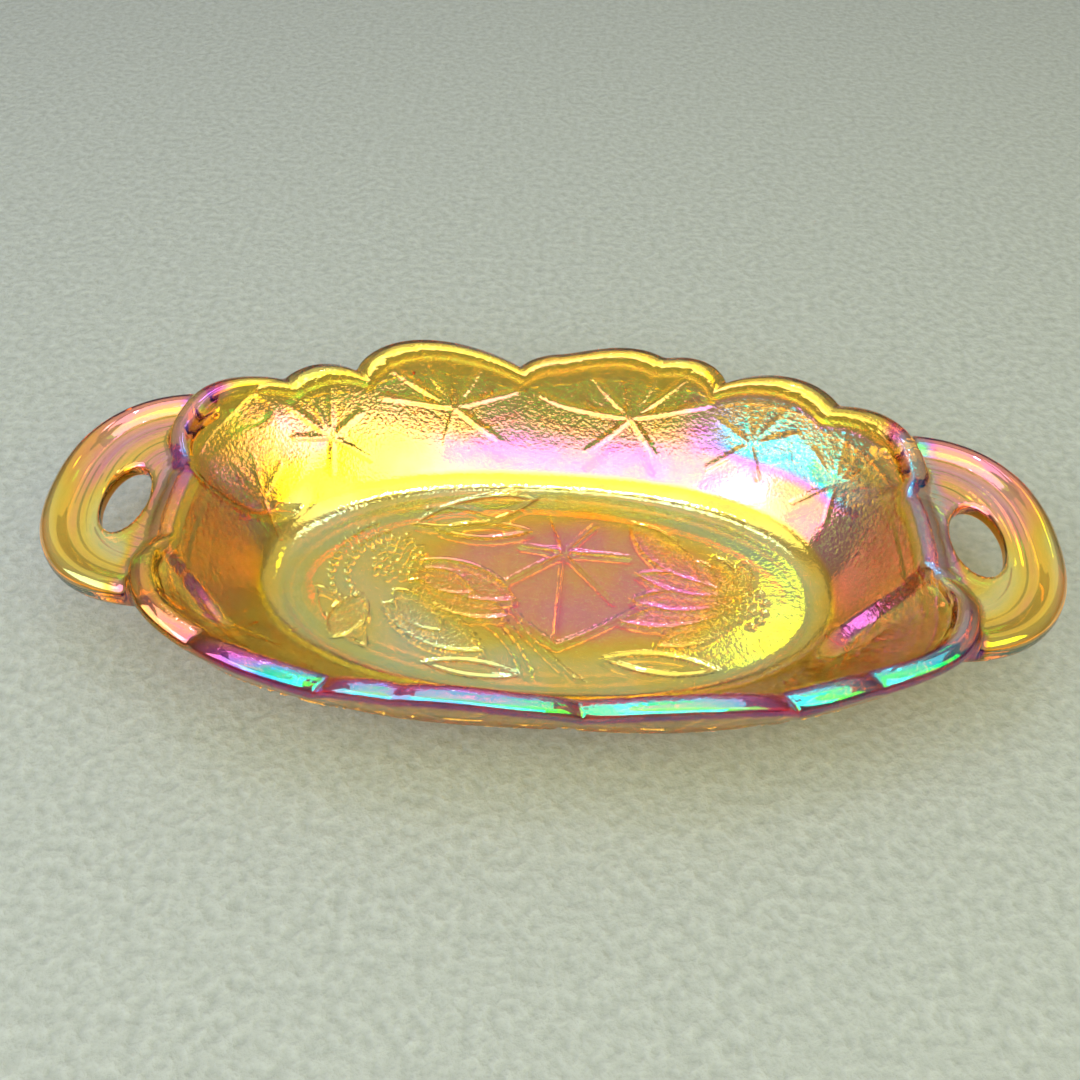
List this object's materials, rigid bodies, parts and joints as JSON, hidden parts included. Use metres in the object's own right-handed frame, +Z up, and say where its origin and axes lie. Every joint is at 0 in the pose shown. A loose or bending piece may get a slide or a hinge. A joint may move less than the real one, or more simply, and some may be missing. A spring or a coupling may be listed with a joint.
{
  "type": "relish dish",
  "caption": "Oval pressed-glass relish dish with a scalloped flared bowl, a pierced lug handle at each end and a low oval foot.",
  "frame": {"origin": "middle of the foot's underside, on the surface that the dish stands on", "axes": "+X along the dish from the left handle to the right, +Y towards the rear rim, +Z up"},
  "size_m": [0.216, 0.1036, 0.0343],
  "materials": {
    "amber_glass": "fire-polished amber glass with an iridescent film"
  },
  "bodies": {
    "root": {"bowl": "amber_glass", "foot_ring": "amber_glass", "left_handle": "amber_glass", "right_handle": "amber_glass"}
  },
  "joints": []
}
